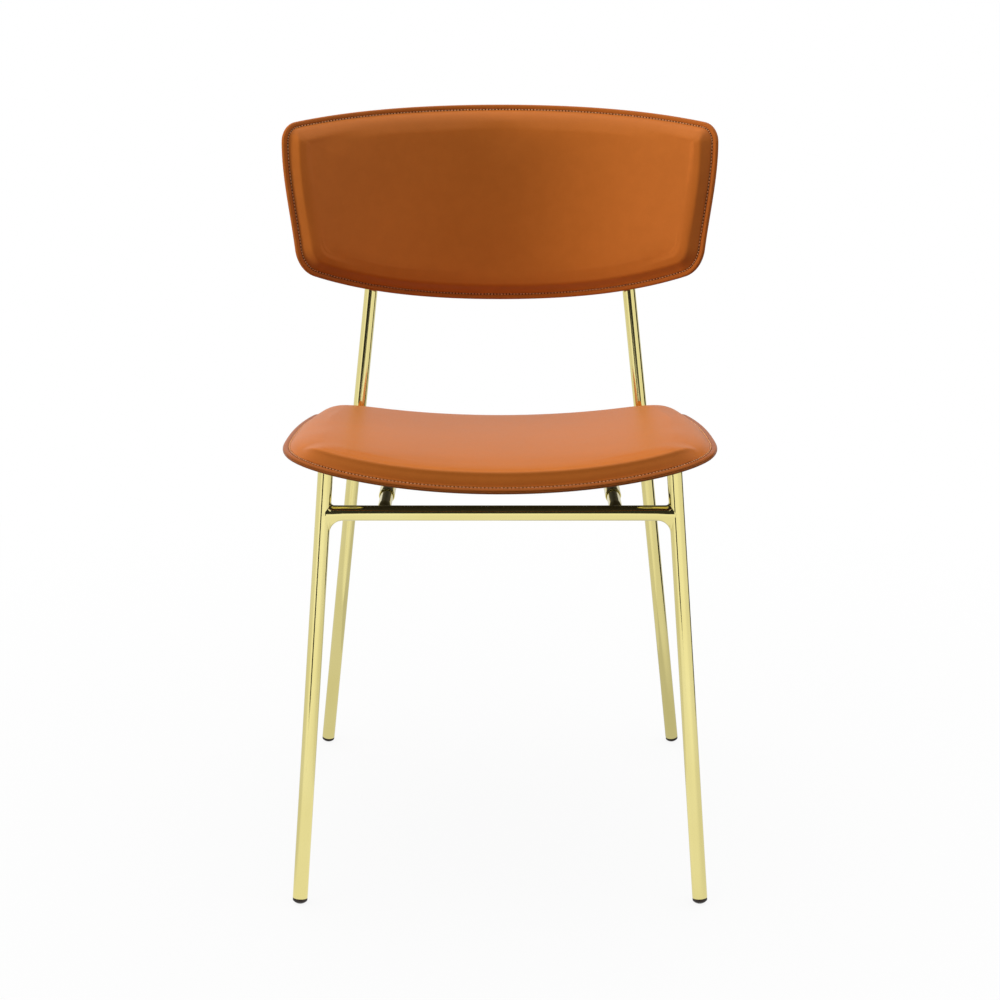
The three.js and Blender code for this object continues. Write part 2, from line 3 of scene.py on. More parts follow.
import bpy
import numpy as np
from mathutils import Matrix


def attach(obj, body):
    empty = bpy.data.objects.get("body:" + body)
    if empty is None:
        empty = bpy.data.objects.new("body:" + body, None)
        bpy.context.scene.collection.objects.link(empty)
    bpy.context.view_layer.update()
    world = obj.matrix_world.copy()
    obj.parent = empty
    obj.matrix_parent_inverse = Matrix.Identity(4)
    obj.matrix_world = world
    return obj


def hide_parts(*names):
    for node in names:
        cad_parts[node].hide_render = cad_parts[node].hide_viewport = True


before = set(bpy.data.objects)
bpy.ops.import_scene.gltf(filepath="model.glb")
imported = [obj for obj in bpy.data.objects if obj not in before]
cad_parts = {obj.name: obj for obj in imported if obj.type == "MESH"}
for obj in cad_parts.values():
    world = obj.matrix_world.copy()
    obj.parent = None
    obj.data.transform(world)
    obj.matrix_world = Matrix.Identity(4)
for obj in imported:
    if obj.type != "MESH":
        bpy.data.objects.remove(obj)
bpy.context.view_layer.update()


# Camera, floor and light. The chair stands on a white floor that runs into a white backdrop, seen from the front and
# from a little above. Soft light comes from above, behind and both sides, and a narrow lamp on the left lights the
# backrest. The metal mirrors a room that is dark behind the camera, and black flags draw the thin lines in it.

view_place, view_pitch, view_lens = (0, -2.3446, 0.9945), 0.2560, 76.93

camera = bpy.data.objects.new("camera", bpy.data.cameras.new("camera"))
camera.location = view_place
camera.rotation_euler = (pi / 2 - view_pitch, 0, 0)
camera.data.lens = view_lens
bpy.context.scene.collection.objects.link(camera)
bpy.context.scene.camera = camera
bpy.context.scene.view_settings.view_transform = "Standard"


class Wire:
    """An output socket of a node tree. Sums, differences and products of wires and numbers add Math nodes."""

    def __init__(self, tree, socket=None):
        self.tree, self.socket = tree, socket

    def node(self, kind, settings=None, inputs=None, output=0):
        """Adds a node: its settings first, then a value or a wire for each input."""
        made = self.tree.nodes.new(kind)
        for name, value in (settings or {}).items():
            setattr(made, name, value)
        for name, value in (inputs or {}).items():
            if isinstance(value, Wire):
                self.tree.links.new(value.socket, made.inputs[name])
            else:
                made.inputs[name].default_value = value
        return Wire(self.tree, made.outputs[output] if len(made.outputs) else None)

    def math(self, operation, *values):
        """A Math node over wires and numbers."""
        return self.node("ShaderNodeMath", {"operation": operation}, dict(enumerate(values)))

    def __add__(self, other):
        return self.math("ADD", self, other)

    def __radd__(self, other):
        return self.math("ADD", other, self)

    def __sub__(self, other):
        return self.math("SUBTRACT", self, other)

    def __rsub__(self, other):
        return self.math("SUBTRACT", other, self)

    def __mul__(self, other):
        return self.math("MULTIPLY", self, other)

    def __rmul__(self, other):
        return self.math("MULTIPLY", other, self)

    def between(self, low, high):
        """0 below low, 1 above high, and a smooth step from one to the other."""
        settings = {"interpolation_type": "SMOOTHSTEP"}
        return self.node("ShaderNodeMapRange", settings, {"Value": self, "From Min": low, "From Max": high})

    def tint(self, low, high):
        """The colour low where the wire is 0 and high where it is 1."""
        settings = {"data_type": "RGBA", "clamp_factor": True}
        return self.node("ShaderNodeMix", settings, {0: self, 6: low, 7: high}, output=2)

    def noise(self, scale, detail, **more):
        """Cloudy noise over a place in metres, with about that many clouds to the metre."""
        return self.node("ShaderNodeTexNoise", {}, {"Vector": self, "Scale": scale, "Detail": detail, **more})

    def parts(self, letters):
        """The parts of a vector with those letters."""
        return [self.node("ShaderNodeSeparateXYZ", inputs={0: self}, output=letter) for letter in letters]

    def rays(self):
        """Two wires: 1 where the camera looks, and 1 where the metal mirrors."""
        return [self.node("ShaderNodeLightPath", output=f"Is {kind} Ray") for kind in ("Camera", "Glossy")]


def tone(red, green, blue):
    """A colour given as it shows, 0 to 255, as the linear values that a shader reads."""
    shares = np.array([red, green, blue]) / 255
    linear = np.where(shares <= 0.04045, shares / 12.92, ((shares + 0.055) / 1.055) ** 2.4)
    return (*linear.tolist(), 1)


def finished(name, surface):
    """A material whose nodes surface() makes from an empty tree. It returns the wire of the shader."""
    material = bpy.data.materials.new(name)
    material.use_nodes = True
    material.node_tree.nodes.clear()
    start = Wire(material.node_tree)
    start.node("ShaderNodeOutputMaterial", inputs={"Surface": surface(start)})
    return material


def lamp(name, place, aim, size, spread, power):
    """A rectangular light that faces a point and spreads that far. It isn't mirrored in the metal, which shows the
    room."""
    light = bpy.data.lights.new(name, "AREA")
    light.shape, light.size, light.size_y, light.spread, light.energy = "RECTANGLE", *size, spread, power
    holder = bpy.data.objects.new(name, light)
    holder.location = place
    holder.rotation_euler = (holder.location - type(holder.location)(aim)).to_track_quat("Z", "Y").to_euler()
    holder.visible_glossy = False
    bpy.context.scene.collection.objects.link(holder)


lamp("side_light", place=(-3.0, -0.5, 0.98), aim=(0.1, 0.15, 0.73), size=(1.0, 0.35), spread=radians(17), power=1.2)


def bearing(x, y):
    """The direction of a place seen from the chair, in degrees: 0 towards the camera and positive to the right."""
    return (180 / pi) * x.math("ARCTAN2", x, 0 - y)


def mirrored_room(turn):
    """How bright the room round the chair is to the metal: whitest ahead on the left, and duller to the right."""
    return 0.8 + 0.2 * turn.between(-66, -46) - 0.14 * turn.between(20, 60) - 0.2 * turn.between(80, 125)


studio = bpy.data.worlds.new("studio")
bpy.context.scene.world = studio
studio.use_nodes = True
studio.node_tree.nodes.clear()
room = Wire(studio.node_tree)
x, y, z = room.node("ShaderNodeTexCoord", output="Generated").parts("XYZ")
turn = bearing(x, y)
seen, mirrored = room.rays()
behind_camera = turn.between(-40, -32) * (1 - turn.between(20, 27)) * z.between(0.09, 0.17)
mirror = mirrored_room(turn) * (1 - 0.97 * behind_camera)
beside = 0.7 * (0 - x).between(0.45, 0.95) + 0.75 * x.between(0.45, 0.95)
soft = 0.03 + 2.1 * z.between(0.5, 0.95) + 0.9 * y.between(0.2, 0.8) + beside
shown = seen + (1 - seen) * (mirrored * mirror + (1 - mirrored) * soft)
room.node(
    "ShaderNodeOutputWorld",
    inputs={"Surface": room.node("ShaderNodeBackground", inputs={"Color": (1, 1, 1, 1), "Strength": shown})},
)


def meshed(name, points, faces, finish):
    """A piece whose mesh has those points and faces, shaded smooth."""
    mesh = bpy.data.meshes.new(name)
    mesh.from_pydata(np.asarray(points, float).tolist(), [], faces)
    mesh.polygons.foreach_set("use_smooth", np.ones(len(faces), bool))
    mesh.update()
    mesh.materials.append(finish)
    piece = bpy.data.objects.new(name, mesh)
    bpy.context.scene.collection.objects.link(piece)
    return piece


def white_floor(start):
    """White to the camera, with the chair's soft shadow round its feet. The metal mirrors it as part of the room, and
    little of the light goes back up from it to the leather."""
    seen, mirrored = start.rays()
    place = start.node("ShaderNodeTexCoord", output="Object")
    far = start.node("ShaderNodeVectorMath", {"operation": "LENGTH"}, {0: place}, output=1)
    lit = start.node("ShaderNodeBsdfDiffuse", inputs={"Color": 0.13 + 0.55 * seen})
    strength = seen + (1 - seen) * mirrored_room(bearing(*place.parts("XY"))) * (0.9 + 0.1 * far.between(0.6, 2.4))
    white = start.node("ShaderNodeEmission", inputs={"Color": (1, 1, 1, 1), "Strength": strength})
    share = start.math("MAXIMUM", seen * (0.9 + 0.1 * far.between(0.5, 1.6)), mirrored)
    return start.node("ShaderNodeMixShader", inputs={0: share, 1: lit, 2: white})


def black_cloth(start):
    """The dull black of the flags."""
    return start.node("ShaderNodeBsdfDiffuse", inputs={"Color": (0.02, 0.02, 0.02, 1)})


floor_corners = [(-7, -7, 0), (7, -7, 0), (7, 7, 0), (-7, 7, 0)]
meshed("floor", floor_corners, [(0, 1, 2, 3)], finished("floor_white", white_floor))

black = finished("flag_black", black_cloth)
for name, (x0, y0), (x1, y1), height in (
    ("flag_left", (-1.22, -1.93), (-0.7, -2.15), 2.2),
    ("flag_right", (0.91, 0.15), (0.65, 0.46), 1.1),
):
    corners = [(x0, y0, 0), (x1, y1, 0), (x1, y1, height), (x0, y0, height)]
    flag = meshed(name, corners, [(0, 1, 2, 3)], black)
    flag.visible_camera = flag.visible_diffuse = flag.visible_shadow = flag.visible_transmission = False


# Front legs: straight steel tube with a polished pale brass plating. Each leans in and back as it rises from its foot,
# and ends under a tab below the seat, cut off along the seat's slope.

feet_y = -0.24462
front_radius, front_bore, front_half, front_splay, front_rake = 0.008, 0.0066, 0.2138, radians(4.04), radians(6.7)
tube_sides, tube_start, edge_round = 64, (0, 0, 0.00012, 0.00035), np.array([0.00025, 0.00008])
glide_centre, glide_dome, glide_play, glide_collar = 0.0095, 0.01, 0.0002, 0.0028
seat_height, seat_overhang, seat_tilt, seat_bend, under_tab = 0.454, 0.009, radians(3.7), 1.0, -0.0051
closing_steps = 8


def unit(vectors):
    """The vectors over their lengths."""
    return vectors / np.linalg.norm(vectors, axis=-1, keepdims=True)


def quad_corners(rows, columns, loop=False):
    """The rows and columns of the four corners of each quad between rings, and in a loop also from the last ring to
    the first. They count on past the last row or column instead of starting again."""
    row, column = np.meshgrid(np.arange(rows if loop else rows - 1), np.arange(columns), indexing="ij")
    return np.stack([row.ravel(), column.ravel()], axis=-1)[:, None] + [(0, 0), (0, 1), (1, 1), (1, 0)]


def facing_out(points, triangles):
    """Whether the triangles face outward: each adds its first corner, from the middle of the points, times the cross
    product of the other two, and the sum is above zero."""
    corner = (points - points.mean(axis=0))[triangles]
    return np.einsum("ij,ij->i", corner[:, 0], np.cross(corner[:, 1], corner[:, 2])).sum() > 0


def skin(name, rings, finish, poles=(None, None), loop=False, pattern=None):
    """A closed mesh over rings of points, given as rows by columns. Quads join each ring to the next, a fan joins the
    first or last ring to its pole, and as a loop the last ring joins the first. pattern holds a UV for each corner of
    a loop's quads, with one more row and column than the rings, so that it never runs backwards."""
    rows, columns = rings.shape[:2]
    corners = quad_corners(rows, columns, loop)
    quads = corners[..., 0] % rows * columns + corners[..., 1] % columns
    points = [rings.reshape(-1, 3)]
    fans = []
    for pole, last in zip(poles, (False, True)):
        if pole is None:
            continue
        start = (rows - 1) * columns if last else 0
        around = np.arange(columns)
        ahead = (around + 1) % columns
        tip = np.full(columns, sum(len(block) for block in points))
        order = [start + around, start + ahead, tip] if last else [start + ahead, start + around, tip]
        fans.append(np.stack(order, axis=-1))
        points.append(np.asarray(pole, float).reshape(1, 3))
    points = np.concatenate(points)
    triangles = np.concatenate([quads[:, [0, 1, 2]], quads[:, [0, 2, 3]], *fans])
    turn = slice(None) if facing_out(points, triangles) else slice(None, None, -1)
    faces = quads[:, turn].tolist() + [face for fan in fans for face in fan[:, turn].tolist()]
    piece = meshed(name, points, faces, finish)
    if pattern is not None:
        row, column = corners[:, turn].reshape(-1, 2).T
        piece.data.uv_layers.new(name="pattern").data.foreach_set("uv", pattern[row, column].ravel())
    return piece


def fit(piece, slot, *nodes):
    """The piece rides on the chair and stands for those CAD nodes, which it hides. Its slot is not used."""
    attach(piece, "root")
    if nodes:
        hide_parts(*nodes)


def round_rings(centres, along, radii, sides=tube_sides, reference=(1, 0, 0)):
    """A ring round each centre, square to the direction along it, as rows by columns: the centre plus the radius times
    the cosine and sine of the turn. The radius is one number, one for each ring, or one for each point."""
    along = unit(np.broadcast_to(np.asarray(along, float), np.shape(centres)))
    across = unit(np.cross(along, reference))
    up = np.cross(along, across)
    turn = np.linspace(0, 2 * pi, sides, endpoint=False)
    spoke = across[:, None] * np.cos(turn)[None, :, None] + up[:, None] * np.sin(turn)[None, :, None]
    radii = np.asarray(radii, float)
    radii = radii if radii.ndim > 1 else np.broadcast_to(radii, len(centres))[:, None]
    return np.asarray(centres)[:, None] + spoke * radii[..., None]


def leaning(side, height, half, splay, y, rake):
    """A point of a leg's middle line: half the spacing less height times the tangent of the splay, and y plus height
    times the tangent of the rake."""
    return np.array([side * (half - height * tan(splay)), y + height * tan(rake), height])


def principled(colour, roughness, height, strength, distance, **constants):
    """A Principled shader with a bump of that height, strength and distance, and its other inputs as constants."""
    bump = height.node("ShaderNodeBump", {}, {"Strength": strength, "Distance": distance, "Height": height})
    inputs = {"Base Color": colour, "Roughness": roughness, "Normal": bump, **constants}
    return height.node("ShaderNodeBsdfPrincipled", {}, inputs)


def plated_brass(start):
    """Polished plating: pale yellow metal with faint cloudy wear, a fine haze and a little waviness."""
    place = start.node("ShaderNodeTexCoord", output="Object")
    clouds, hazes = place.noise(9, 3), place.noise(140, 4, Roughness=0.7)
    colour = clouds.between(0.3, 0.75).tint(tone(238, 225, 150), tone(243, 231, 160))
    shine = 0.07 + 0.05 * clouds.between(0.35, 0.8) + 0.03 * hazes.between(0.5, 0.8)
    return principled(colour, shine, 0.6 * clouds + 0.05 * hazes, strength=0.06, distance=0.002, Metallic=1.0)


brass = finished("plated_brass", plated_brass)
sides = (("left", -1), ("right", 1))


class Bend:
    """A board bent to a radius about a line above its middle, leaned about x and moved to its place. Of its points, a
    runs across, b from the front or lower edge, and n out of the leathered face, all in metres."""

    def __init__(self, radius, lean, place):
        self.radius, self.place = radius, np.array(place, float)
        self.turn = np.array([[1, 0, 0], [0, cos(lean), -sin(lean)], [0, sin(lean), cos(lean)]])

    def at(self, a, b, n):
        """Round the bend by a over its radius, nearer the middle of the bend by n, then leaned and moved."""
        angle, reach = a / self.radius, self.radius - n
        local = np.broadcast_arrays(reach * np.sin(angle), b, self.radius - reach * np.cos(angle))
        return np.stack(local, axis=-1) @ self.turn.T + self.place

    def coordinates(self, point):
        """The a, b and n of a point: the same steps the other way."""
        x, b, z = (np.asarray(point) - self.place) @ self.turn
        up = self.radius - z
        return self.radius * np.arctan2(x, up), b, self.radius - np.hypot(x, up)

    def out(self, a, b):
        """The direction out of the leathered face."""
        return unit(self.at(a, b, 0.001) - self.at(a, b, 0))


def height_where(board, line, height, n):
    """The height at which a line of the frame reaches n, closed in on in a few steps."""
    for _ in range(closing_steps):
        height += n - board.coordinates(line(height))[2]
    return height


seat_board = Bend(seat_bend, -seat_tilt, (0, feet_y - seat_overhang, seat_height))


def front_line(side):
    """The middle line of a front leg."""
    return lambda height: leaning(side, height, front_half, front_splay, feet_y, front_rake)


def glide_frame(line, radius):
    """The middle of a glide's dome, the direction up the leg, the radius of the glide's rim, and the rim's place up
    the leg: less the root of the dome's radius squared less the rim's squared."""
    centre, rim = line(glide_centre), radius - glide_play
    return centre, unit(line(seat_height) - centre), rim, -np.sqrt(glide_dome**2 - rim**2)


def tube_foot(line, radius):
    """Where a leg's tube starts above its glide, and the direction up the leg."""
    centre, along, _, edge = glide_frame(line, radius)
    return centre + along * (glide_collar + edge), along


for name, side in sides:
    line = front_line(side)
    foot, along = tube_foot(line, front_radius)
    top = line(height_where(seat_board, line, seat_height, under_tab))
    run = np.linalg.norm(top - foot)
    middle = np.linspace(0.001, run - 0.004, 12)
    places = np.array([*tube_start, *middle, run - 0.0006, run - 0.0001, run, run])
    radii = [front_bore, *(front_radius - edge_round), *[front_radius] * 16, front_bore]
    rings = round_rings(foot + along * places[:, None], along, radii)
    out = seat_board.out(*seat_board.coordinates(top)[:2])
    rings[-4:] += along * ((top - rings[-4:]) @ out / (along @ out) - (run - places[-4:, None]))[..., None]
    leg = skin(f"leg_front_{name}", rings, brass, (foot, top))
    fit(leg, "frame_brass", f"front_leg_{name}")


# Front crossbar: the same tube between the front legs, coped to them and brazed. The braze is dressed to a small
# fillet above the bar and a wide one below it, which narrows to a rounded web where it meets the leg.

bar_height, fillet_below, fillet_above, leaning_reach = 0.418, 0.0125, 0.003, 0.02

bar_end = leaning(1, bar_height, front_half, front_splay, feet_y, front_rake)
from_leg = np.unique(
    np.concatenate(
        [
            [0, 0.004],
            front_radius + fillet_below * (1 - np.sin(np.linspace(pi / 2, 0, 17))),
            front_radius + fillet_above * (1 - np.sin(np.linspace(pi / 2, 0, 7))),
            np.linspace(front_radius + fillet_below, bar_end[0], 10)[1:],
        ]
    ).round(7)
)


def fillet(distance, radius):
    """How far a quarter-round fillet stands off the bar at a distance from the leg's middle line."""
    reach = np.clip(front_radius + radius - distance, 0, radius)
    return radius - np.sqrt(radius**2 - reach**2)


turn = np.linspace(0, 2 * pi, tube_sides, endpoint=False)
rise = np.sin(turn)
below, above = fillet(from_leg, fillet_below)[:, None], fillet(from_leg, fillet_above)[:, None]
z = front_radius * rise + np.where(rise > 0, above * rise**2, -below * np.abs(rise) ** 3)
lean = np.clip(1 - (from_leg[:, None] - front_radius) / leaning_reach, 0, 1)
x = bar_end[0] - from_leg[:, None] - z * tan(front_splay) * lean
y = bar_end[1] + front_radius * np.cos(turn) + z * tan(front_rake) * lean
half_bar = np.stack(np.broadcast_arrays(x, y, bar_height + z), axis=-1)
rings = np.concatenate([half_bar, (half_bar * (-1, 1, 1))[-2::-1]])
bar = skin("crossbar_front", rings, brass, (bar_end, bar_end * (-1, 1, 1)))
fit(bar, "frame_brass", "front_crossbar")


# Rear legs: one tube each, bent below the seat and carried on as an upright of the backrest. The crossbar between
# them is level with the front one.

rear_radius, rear_half, rear_splay, rear_rake, rear_depth = 0.00775, 0.221, radians(6.58), radians(7.85), 0.48
rear_bore, bend_height, bend_radius, upright_splay, upright_lean = 0.0064, 0.435, 0.15, radians(5.93), radians(10.5)
back_height, back_low, back_lean, top_share = 0.232, 0.5755, radians(9.5), 0.72


def rear_line(side):
    """The middle line of a rear leg below its bend."""
    return lambda height: leaning(side, height, rear_half, rear_splay, feet_y + rear_depth, -rear_rake)


def upright_line(side):
    """The middle line of an upright, which leaves the rear leg's line at the bend."""
    bend = rear_line(side)(bend_height)
    return lambda height: np.array(
        [
            bend[0] - side * (height - bend_height) * tan(upright_splay),
            bend[1] + (height - bend_height) * tan(upright_lean),
            height,
        ]
    )


def up_the_back(side, share):
    """The point of an upright's line at a share of the backrest's height."""
    return upright_line(side)(back_low + share * back_height * cos(back_lean))


for name, side in sides:
    line = rear_line(side)
    foot, along = tube_foot(line, rear_radius)
    corner, top = line(bend_height), up_the_back(side, top_share)
    beyond = unit(top - corner)
    inward = unit(beyond - (beyond @ along) * along)
    whole = np.arccos(beyond @ along)
    reach = bend_radius * tan(whole / 2)
    angle = np.linspace(0, whole, 17)[:, None]
    arc = corner - along * reach + bend_radius * (np.sin(angle) * along + (1 - np.cos(angle)) * inward)
    lower = foot + along * np.array([*tube_start, 0.001, 0.1, 0.2, 0.3])[:, None]
    upper = np.linspace(arc[-1], top - beyond * 0.0005, 6)[1:]
    centres = np.concatenate([lower, arc, upper, [top - beyond * 0.00015, top, top]])
    headings = np.concatenate(
        [np.tile(along, (8, 1)), np.cos(angle) * along + np.sin(angle) * inward, np.tile(beyond, (8, 1))]
    )
    rounded = [rear_bore, *(rear_radius - edge_round)]
    radii = [*rounded, *[rear_radius] * 27, *rounded[::-1]]
    leg = skin(f"leg_rear_{name}", round_rings(centres, headings, radii), brass, (foot, top))
    fit(leg, "frame_brass", f"rear_leg_{name}")

bar_end = rear_line(1)(bar_height)
centres = np.linspace(bar_end, bar_end * (-1, 1, 1), 9)
rings = round_rings(centres, (-1, 0, 0), rear_radius, reference=(0, 0, 1))
bar = skin("crossbar_rear", rings, brass, (centres[0], centres[-1]))
fit(bar, "frame_brass", "rear_crossbar")


# Seat rails: a stub of bar brazed to the front crossbar on each side, and a tube from the rear crossbar that slides
# over it. The tube's mouth is rounded off.

rail_inset, rail_radius, stub_radius, stub_shown, stub_hidden = 0.0513, 0.0085, 0.007, 0.07, 0.04
mouth_steps = [0.012, 0.0009, 0.0003, 0, 0, 0.00025, 0.0008, 0.0016]
mouth_radii = [0.0073, 0.0073, 0.00742, 0.0076, 0.0079, 0.0082, 0.00843, rail_radius]

rail_x = bar_end[0] - rail_inset
front_bar_y = front_line(1)(bar_height)[1]
rail_y = front_bar_y + stub_shown

for name, side in sides:
    steps = np.array([*mouth_steps, *np.linspace(0.01, bar_end[1] - rail_y, 8)])
    radii = [*mouth_radii, *[rail_radius] * 8]
    centres = np.array([side * rail_x, rail_y, bar_height]) + steps[:, None] * (0, 1, 0)
    rail = skin(f"rail_{name}", round_rings(centres, (0, 1, 0), radii), brass, (centres[0], centres[-1]))
    fit(rail, "frame_brass", f"seat_rail_{name}")
    ends = np.array([[side * rail_x, y, bar_height] for y in (front_bar_y, rail_y + stub_hidden)])
    centres = np.linspace(*ends, 5)
    stub = skin(f"stub_{name}", round_rings(centres, (0, 1, 0), stub_radius), brass, tuple(ends))
    fit(stub, "frame_brass", f"rail_stub_{name}")


# Glides and caps: moulded dark brown plastic, pressed into the open ends of the tubes. A glide is a dome with a short
# collar, worn flat where it stands on the floor.


def moulded_plastic(start):
    """Dark brown plastic with the fine even pitting of its mould."""
    place = start.node("ShaderNodeTexCoord", output="Object")
    pits = start.node("ShaderNodeTexVoronoi", {}, {"Vector": place, "Scale": 1900})
    clouds = place.noise(90, 3)
    colour = clouds.between(0.3, 0.7).tint(tone(34, 22, 14), tone(48, 32, 20))
    return principled(colour, 0.38 + 0.12 * clouds, pits, strength=0.25, distance=0.0002)


plastic = finished("moulded_plastic", moulded_plastic)
cap_rim, cap_dome = 0.0014, 0.0036

for end, lines, radius in (("front", front_line, front_radius), ("rear", rear_line, rear_radius)):
    for name, side in sides:
        centre, along, rim, edge = glide_frame(lines(side), radius)
        polar = np.linspace(0.08, np.arcsin(rim / glide_dome) - 0.02, 14)
        collar = edge + np.array([0.0001, 0.0004, 0.0023, 0.0025, 0.0025, 0.006])
        places = [*(-glide_dome * np.cos(polar)), *collar]
        waist = [rim - 0.00012, radius - 0.0012, radius - 0.0018]
        radii = [*(glide_dome * np.sin(polar)), rim - 0.00003, rim, rim, *waist]
        centres = centre + along * np.array(places)[:, None]
        rings = round_rings(centres, along, radii)
        rings[..., 2] = np.maximum(rings[..., 2], 0)
        poles = (centre * (1, 1, 0), centres[-1])
        glide = skin(f"glide_{end}_{name}", rings, plastic, poles)
        fit(glide, "glide_plastic", f"{end}_glide_{name}")

for name, side in sides:
    top = up_the_back(side, top_share)
    along = unit(top - rear_line(side)(bend_height))
    polar = np.linspace(0, pi / 2, 10)[:-1]
    rim = rear_radius - glide_play
    places = [-0.006, -0.004, 0.0002, 0.0003, 0.0006, *(cap_rim + cap_dome * np.sin(polar))]
    radii = [0.005, 0.0059, 0.0059, rim - 0.0002, rim - 0.00002, *(rim * np.cos(polar) ** 0.6)]
    centres = top + along * np.array(places)[:, None]
    poles = (centres[0], top + along * (cap_rim + cap_dome))
    cap = skin(f"cap_{name}", round_rings(centres, along, radii), plastic, poles)
    fit(cap, "cap_plastic", f"upright_cap_{name}")


# Seat pad: moulded foam on a board of bent plywood, under a hide of tan leather that is drawn down over the rounded
# edge and sewn to the lip all round. The board dishes from side to side, and the foam is crowned a little.

seat_width, seat_pad_thickness, seat_roll, crown, board_top = 0.467, 0.0235, 0.0355, 0.0012, 0.0093
seat_gap = 0.010
seat_depth = upright_line(1)(seat_height)[1] - feet_y - rear_radius - seat_gap + seat_overhang
seat_corners = [
    (0, 0, 0),
    (0.6, 0.031, 14),
    (0.872, 0.101, 42),
    (0.962, 0.176, 70),
    (1, 0.373, 90),
    (0.945, 0.824, 98.5),
    (0.69, 0.955, 165),
    (0, 1, 180),
]
lip_bottom, lip_top, lip_inner, seam_inset, seam_height, board_inset = -0.0015, 0.0044, 0.012, 0.0068, 0.0048, 0.0123
gather, panel_columns, inmost, top_rows, side_rows, stand_out = 0.006, 480, 0.035, 26, 43, 0.2


class Panel:
    """A bent board with an outline: cubic curves between corners, which are shares of half the width and of the depth
    with a heading in degrees, mirrored to the other half and spaced evenly along the edge."""

    def __init__(self, board, width, depth, corners):
        self.board, self.half, self.middle = board, width / 2, depth / 2
        corners = np.array(corners, float)
        places, turns = corners[:, :2] * (self.half, depth), np.radians(corners[:, 2])
        heading = np.stack([np.cos(turns), np.sin(turns)], axis=-1)
        handle = np.linalg.norm(np.diff(places, axis=0), axis=1) / (3 * np.cos(np.diff(turns) / 4) ** 2)
        t = np.linspace(0, 1, 80, endpoint=False)[None, :, None]
        start, end = places[:-1, None], places[1:, None]
        leave = start + (heading[:-1] * handle[:, None])[:, None]
        arrive = end - (heading[1:] * handle[:, None])[:, None]
        curve = (1 - t) ** 3 * start + 3 * (1 - t) ** 2 * t * leave + 3 * (1 - t) * t**2 * arrive + t**3 * end
        half = np.concatenate([curve.reshape(-1, 2), places[-1:]])
        whole = np.concatenate([half, (half * (-1, 1))[-2::-1]])
        steps = np.linalg.norm(np.diff(whole, axis=0), axis=1)
        length = np.concatenate([[0], np.cumsum(steps)])
        self.around = np.linspace(0, length[-1], panel_columns + 1)
        spots = self.around[:-1]
        self.edge = np.stack([np.interp(spots, length, whole[:, k]) for k in (0, 1)], axis=-1)
        run = unit(np.roll(self.edge, -1, axis=0) - np.roll(self.edge, 1, axis=0))
        self.outward = np.stack([run[:, 1], -run[:, 0]], axis=-1)

    def ring(self, inset, share=1.0):
        """The a and b of the edge drawn in by an inset, then shrunk to a share of its size. Over the lip the edge moves
        square to itself. Beyond it that part of the move fades with the exponential of the distance over the gather,
        and a move in proportion takes its place. Rows follow the insets and columns go round."""
        inset, share = np.atleast_1d(inset), np.atleast_1d(share)
        inset, share = (each if each.ndim > 1 else each[:, None] for each in (inset, share))
        over = np.minimum(inset, lip_inner) + gather * (1 - np.exp(-np.maximum(inset - lip_inner, 0) / gather))
        a = (self.edge[:, 0] - self.outward[:, 0] * over) * (1 - (inset - over) / (self.half - over))
        b = (self.edge[:, 1] - self.outward[:, 1] * over - self.middle) * (1 - (inset - over) / (self.middle - over))
        return a * share, self.middle + b * share

    def rings(self, inset, share, n):
        """Points on the bent board at those insets, shares and heights n, as rows by columns."""
        n = np.asarray(n, float)
        return self.board.at(*self.ring(inset, share), n if n.ndim > 1 else n[:, None])

    def pole(self, n):
        """The point at the middle of the board at height n."""
        return self.board.at(0, self.middle, n)


seat = Panel(seat_board, seat_width, seat_depth, seat_corners)


def cushion_section(thickness, roll, slopes, runs, ramped):
    """The section of a pad from its middle outward: insets, shares and heights, with a column for each step round. The
    top falls from its crown with the square of the share. The roll is a quarter ellipse that stands out of the
    stitches. Where ramped is 1 it is a ramp with a tight crest instead, along which the angle changes evenly from one
    of the slopes to the next over each run, sized to fit."""
    share = np.linspace(inmost, 1, top_rows)
    s = np.linspace(0, sum(runs), 400)
    angle = np.interp(s, np.cumsum([0, *runs]), np.radians(slopes))
    ramp = (np.concatenate([[0], np.cumsum((f[1:] + f[:-1]) / 2)]) for f in (np.cos(angle), np.sin(angle)))
    spots = np.linspace(1, 0, side_rows + 1)[1:, None]
    turn = stand_out + (pi / 2 - stand_out) * spots
    ellipse = 1 - np.cos(turn) / cos(stand_out), (np.sin(turn) - sin(stand_out)) / (1 - sin(stand_out))
    out, up = (
        ramped * np.interp(spots, s / s[-1], part / part[-1]) + (1 - ramped) * other
        for part, other in zip(ramp, ellipse)
    )
    flat = np.ones(len(ramped))
    under = [(seam_inset + 0.0003, 1, seam_height - 0.0001), (lip_inner, 1, seam_height - 0.0001)]
    under = np.array(under + [(lip_inner, each, board_top) for each in (1, 0.7, 0.35)])[..., None] * flat
    top = [seam_inset + roll, share[:, None], (thickness + crown * (1 - share**2))[:, None]]
    side = [seam_inset + roll * out, 1, seam_height + (thickness - seam_height) * up]
    return [
        np.concatenate([above * np.ones((top_rows, 1)) * flat, beside * np.ones((side_rows, 1)) * flat, under[:, part]])
        for part, (above, beside) in enumerate(zip(top, side))
    ]


